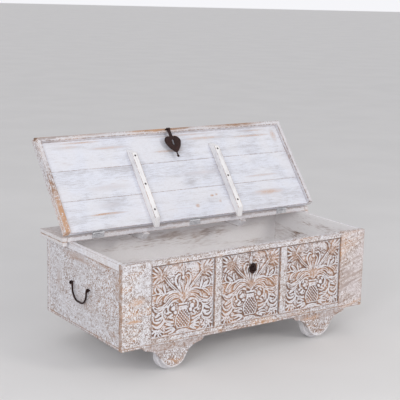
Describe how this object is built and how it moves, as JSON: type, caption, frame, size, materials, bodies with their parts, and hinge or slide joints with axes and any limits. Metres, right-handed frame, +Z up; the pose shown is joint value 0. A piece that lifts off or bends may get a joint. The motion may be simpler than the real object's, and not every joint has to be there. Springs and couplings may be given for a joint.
{
  "type": "chest",
  "caption": "Low carved wooden dowry chest on four block wheels, with a hinged lid standing open, an iron heart-shaped hasp and bail handles.",
  "frame": {"origin": "centre of the whole part's footprint with the lid open, on the floor under the wheels", "axes": "+X along the chest to its right end, +Y from the carved front to the back, +Z up"},
  "size_m": [1.2002, 0.6584, 0.8022],
  "materials": {
    "whitewashed_wood": "distressed whitewash over mango wood",
    "carved_wood": "carved, whitewashed and rubbed back",
    "plain_wood": "planed, thin whitewash",
    "pale_wood": "turned block, whitewashed",
    "black_iron": "forged, dark brown-black",
    "zinc_steel": "zinc plated",
    "dark_screw": "blackened"
  },
  "bodies": {
    "chest": {"front_left_stile": "whitewashed_wood", "front_right_stile": "whitewashed_wood", "front_bottom_rail": "whitewashed_wood", "front_top_rail": "whitewashed_wood", "mullion_left": "whitewashed_wood", "mullion_right": "whitewashed_wood", "carved_panel_left": "carved_wood", "carved_panel_middle": "carved_wood", "carved_panel_right": "carved_wood", "side_board_left": "whitewashed_wood", "side_board_right": "whitewashed_wood", "side_top_rail_left": "whitewashed_wood", "side_top_rail_right": "whitewashed_wood", "back_board": "whitewashed_wood", "floor_board_front": "plain_wood", "floor_board_middle": "plain_wood", "floor_board_rear": "plain_wood", "floor_bearer_left": "plain_wood", "floor_bearer_right": "plain_wood", "rear_top_board": "whitewashed_wood", "rear_lipping_left": "whitewashed_wood", "rear_lipping_right": "whitewashed_wood", "top_batten_left": "whitewashed_wood", "top_batten_right": "whitewashed_wood", "hinge_leaves_fixed": "zinc_steel", "hinge_pins": "zinc_steel", "hinge_screws_fixed": "zinc_steel", "staple_plate": "black_iron", "staple_loop": "black_iron", "handle_eyes_left": "black_iron", "handle_eyes_right": "black_iron", "foot_cheek_front_left": "whitewashed_wood", "foot_cheek_front_right": "whitewashed_wood", "foot_cheek_rear_left": "whitewashed_wood", "foot_cheek_rear_right": "whitewashed_wood", "inner_cheek_front_left": "plain_wood", "inner_cheek_front_right": "plain_wood", "inner_cheek_rear_left": "plain_wood", "inner_cheek_rear_right": "plain_wood", "wheel_axles": "black_iron"},
    "lid": {"lid_board_rear": "whitewashed_wood", "lid_board_middle": "whitewashed_wood", "lid_board_front": "whitewashed_wood", "lid_lipping_left": "whitewashed_wood", "lid_lipping_right": "whitewashed_wood", "lid_lipping_front": "whitewashed_wood", "lid_batten_left": "whitewashed_wood", "lid_batten_right": "whitewashed_wood", "lid_batten_screws": "dark_screw", "hinge_leaves_lid": "zinc_steel", "hinge_screws_lid": "zinc_steel", "hasp_hanger": "black_iron"},
    "hasp": {"hasp": "black_iron"},
    "handle_left": {"handle_bail_left": "black_iron"},
    "handle_right": {"handle_bail_right": "black_iron"},
    "wheel_front_left": {"wheel_front_left": "pale_wood"},
    "wheel_front_right": {"wheel_front_right": "pale_wood"},
    "wheel_rear_left": {"wheel_rear_left": "pale_wood"},
    "wheel_rear_right": {"wheel_rear_right": "pale_wood"}
  },
  "joints": [
    {"name": "lid_hinge", "type": "hinge", "parent": "chest", "child": "lid", "pos_m": [0, 0.07381, 0.4525], "axis": [1, 0, 0], "range_deg": [0, 128.6]},
    {"name": "hasp_swing", "type": "hinge", "parent": "lid", "child": "hasp", "pos_m": [0.004, 0.29293, 0.79718], "axis": [-1, 0, 0], "range_deg": [0, 90]},
    {"name": "handle_left_swing", "type": "hinge", "parent": "chest", "child": "handle_left", "pos_m": [-0.5775, -0.01519, 0.281], "axis": [0, 1, 0], "range_deg": [0, 170]},
    {"name": "handle_right_swing", "type": "hinge", "parent": "chest", "child": "handle_right", "pos_m": [0.5775, -0.01519, 0.281], "axis": [0, -1, 0], "range_deg": [0, 170]},
    {"name": "wheel_front_left_spin", "type": "hinge", "parent": "chest", "child": "wheel_front_left", "pos_m": [-0.348, -0.27069, 0.054], "axis": [0, 1, 0], "continuous": true},
    {"name": "wheel_front_right_spin", "type": "hinge", "parent": "chest", "child": "wheel_front_right", "pos_m": [0.348, -0.27069, 0.054], "axis": [0, 1, 0], "continuous": true},
    {"name": "wheel_rear_left_spin", "type": "hinge", "parent": "chest", "child": "wheel_rear_left", "pos_m": [-0.348, 0.21831, 0.054], "axis": [0, 1, 0], "continuous": true},
    {"name": "wheel_rear_right_spin", "type": "hinge", "parent": "chest", "child": "wheel_rear_right", "pos_m": [0.348, 0.21831, 0.054], "axis": [0, 1, 0], "continuous": true}
  ],
  "couplings": [
    {"joint": "hasp_swing", "follows": "lid_hinge", "ratio": 0.6993}
  ]
}
